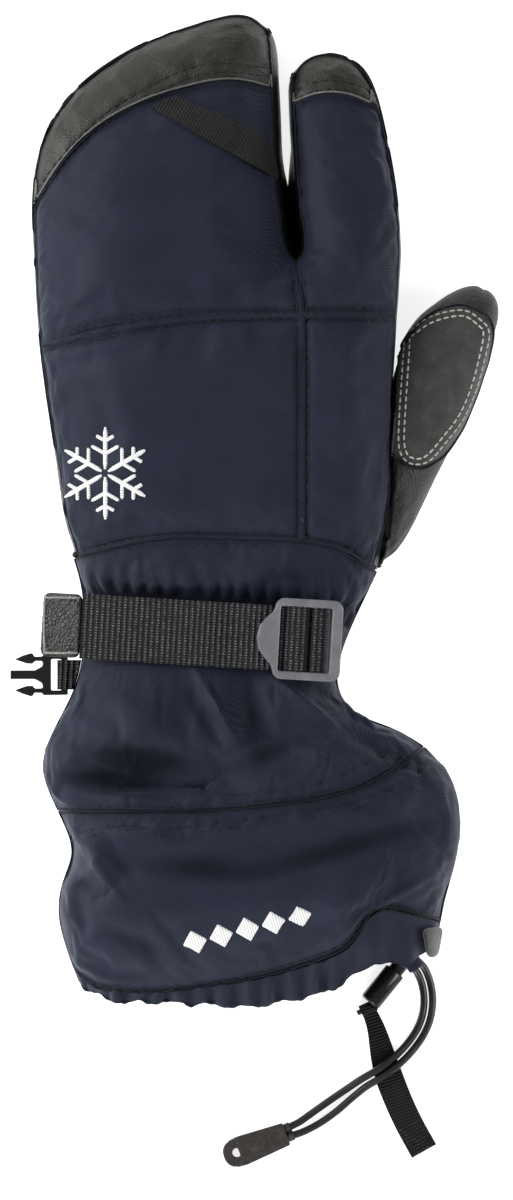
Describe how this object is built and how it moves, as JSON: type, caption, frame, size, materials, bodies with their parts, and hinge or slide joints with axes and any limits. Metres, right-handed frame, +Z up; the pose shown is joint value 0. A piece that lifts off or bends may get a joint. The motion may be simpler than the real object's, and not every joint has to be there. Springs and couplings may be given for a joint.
{
  "type": "left-hand ski mitten with a separate index finger",
  "caption": "Padded winter mitten lying palm down, with its own index finger and thumb, a buckled wrist strap, and a flared gauntlet with a drawcord, lock and pull ribbon.",
  "frame": {"origin": "On the flat underside of the palm, in the middle of the hand, where it rests on the table.", "axes": "+Y runs to the fingertips, +Z up from the table through the back of the hand, +X to the thumb side."},
  "size_m": [0.1752, 0.4159, 0.0591],
  "materials": {
    "navy_shell": "matt woven stretch cloth",
    "black_leather": "fine-grained, half matt",
    "grey_suede": "napped",
    "black_webbing": "ribbed weave",
    "grey_buckle": "satin moulded",
    "black_plastic": "smooth",
    "elastic_cord": "braided",
    "brown_rubber": "matt moulded"
  },
  "bodies": {
    "mitten": {"mitten_back": "navy_shell", "index_back": "navy_shell", "hand_back": "navy_shell", "index_hand_back": "navy_shell", "mitten_cap": "black_leather", "index_cap": "black_leather", "side_gusset_little": "black_leather", "finger_fourchette": "black_leather", "side_gusset_index": "black_leather", "palm_mitten": "black_leather", "palm_index": "black_leather", "gauntlet_upper_back": "navy_shell", "gauntlet_lower_back": "navy_shell", "gauntlet_upper_palm": "navy_shell", "gauntlet_lower_palm": "navy_shell", "hem_band": "navy_shell", "back_ribbon": "black_webbing", "thumb_shell": "black_leather", "thumb_patch": "grey_suede", "wrist_strap": "black_webbing", "strap_anchor": "black_webbing", "strap_pull_tab": "black_leather", "ladder_lock": "grey_buckle", "side_release_clip": "black_plastic", "clip_webbing": "black_webbing", "cuff_tab": "black_leather", "lock_barrel": "black_plastic", "drawcord_inner": "elastic_cord", "drawcord_outer": "elastic_cord", "cord_end": "brown_rubber", "pull_ribbon": "black_webbing"},
    "plunger": {"lock_plunger": "black_plastic"}
  },
  "joints": [
    {"name": "lock_press", "type": "slide", "parent": "mitten", "child": "plunger", "axis": [-0.6266, -0.7793, 0], "range_m": [0, 0.0025], "stiffness_N_per_m": 200}
  ]
}
